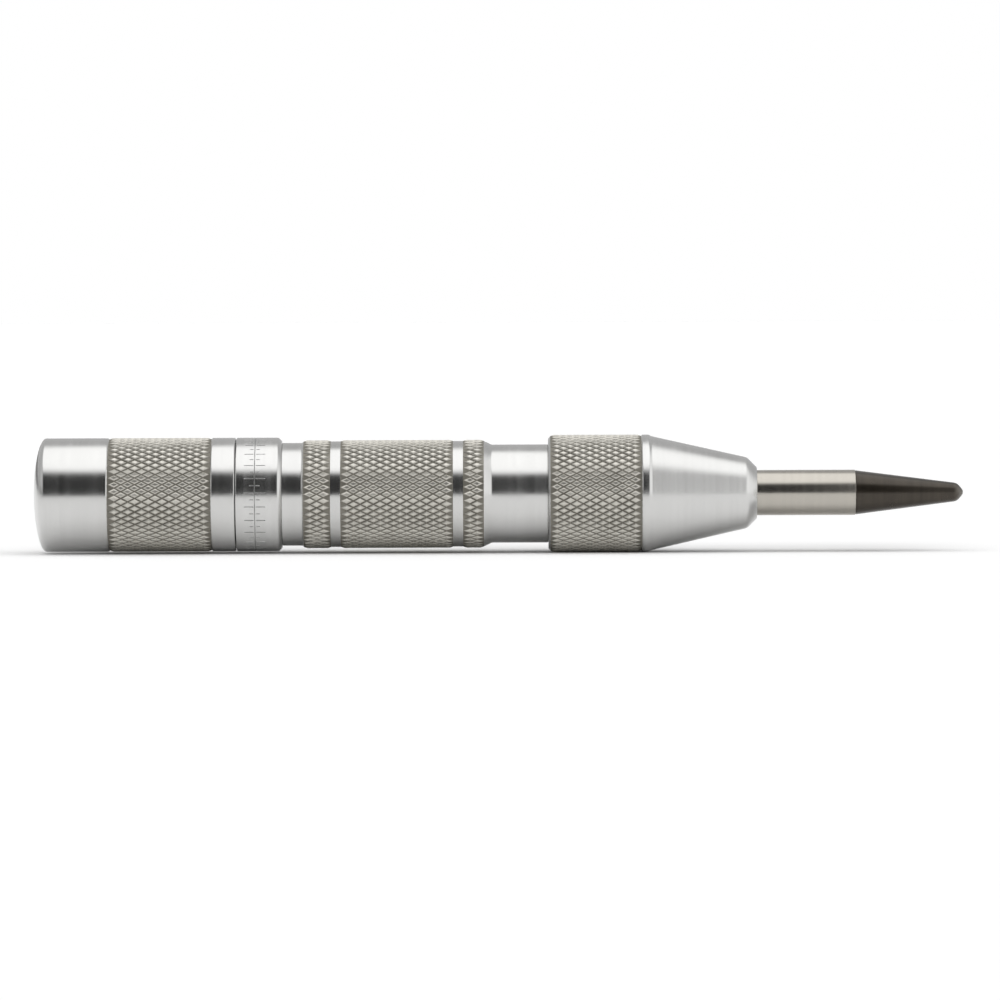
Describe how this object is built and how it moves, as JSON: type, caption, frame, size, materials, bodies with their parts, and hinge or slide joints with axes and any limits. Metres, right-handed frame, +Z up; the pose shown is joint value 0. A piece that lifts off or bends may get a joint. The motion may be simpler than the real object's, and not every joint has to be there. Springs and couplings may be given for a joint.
{
  "type": "automatic center punch",
  "caption": "Spring-loaded automatic center punch: knurled barrel and nose, screw cap that sets the blow, sliding punch with a dark hardened point.",
  "frame": {"origin": "on the floor under the middle of the tool, which lies on its collar", "axes": "+X along the tool from the cap to the point, +Z up"},
  "size_m": [0.13, 0.0164, 0.0164],
  "materials": {
    "satin_chrome": "satin",
    "bright_steel": "satin",
    "black_oxide": "satin",
    "hard_steel": "satin",
    "spring_steel": "satin",
    "bronze": "satin"
  },
  "bodies": {
    "barrel": {"barrel": "satin_chrome", "scale_ring": "satin_chrome", "cam_sleeve": "hard_steel", "stop_ring": "hard_steel", "retaining_ring": "spring_steel", "nose_piece": "satin_chrome", "guide_bush": "bronze", "main_spring": "spring_steel", "return_spring": "spring_steel"},
    "seat": {"thrust_washer": "hard_steel", "spring_seat": "hard_steel"},
    "cap": {"adjusting_cap": "satin_chrome"},
    "punch": {"stem": "hard_steel", "punch_holder": "hard_steel", "holder_pin": "hard_steel", "punch_shank": "bright_steel", "punch_tip": "black_oxide"},
    "hammer": {"hammer": "hard_steel", "trip_spring": "spring_steel"},
    "trip": {"trip_slide": "hard_steel"}
  },
  "joints": [
    {"name": "cap_advance", "type": "slide", "parent": "barrel", "child": "seat", "axis": [-1, 0, 0], "range_m": [0, 0.004], "deforming": ["main_spring"]},
    {"name": "cap_turn", "type": "hinge", "parent": "seat", "child": "cap", "pos_m": [-0.05, 0, 0.0082], "axis": [-1, 0, 0], "range_deg": [0, 1440]},
    {"name": "punch_press", "type": "slide", "parent": "barrel", "child": "punch", "axis": [-1, 0, 0], "range_m": [0, 0.008], "stiffness_N_per_m": 600, "springref_m": -0.006, "deforming": ["return_spring"]},
    {"name": "hammer_lift", "type": "slide", "parent": "barrel", "child": "hammer", "axis": [-1, 0, 0], "range_m": [0, 0.008], "deforming": ["main_spring"]},
    {"name": "trip_shift", "type": "slide", "parent": "hammer", "child": "trip", "axis": [0, 0, -1], "range_m": [0, 0.0011], "deforming": ["trip_spring"]}
  ],
  "couplings": [
    {"joint": "cap_turn", "follows": "cap_advance", "rad_per_m": 6283.2},
    {"joint": "hammer_lift", "follows": "punch_press", "ratio": 1},
    {"joint": "trip_shift", "follows": "punch_press", "ratio": 0.1375}
  ]
}
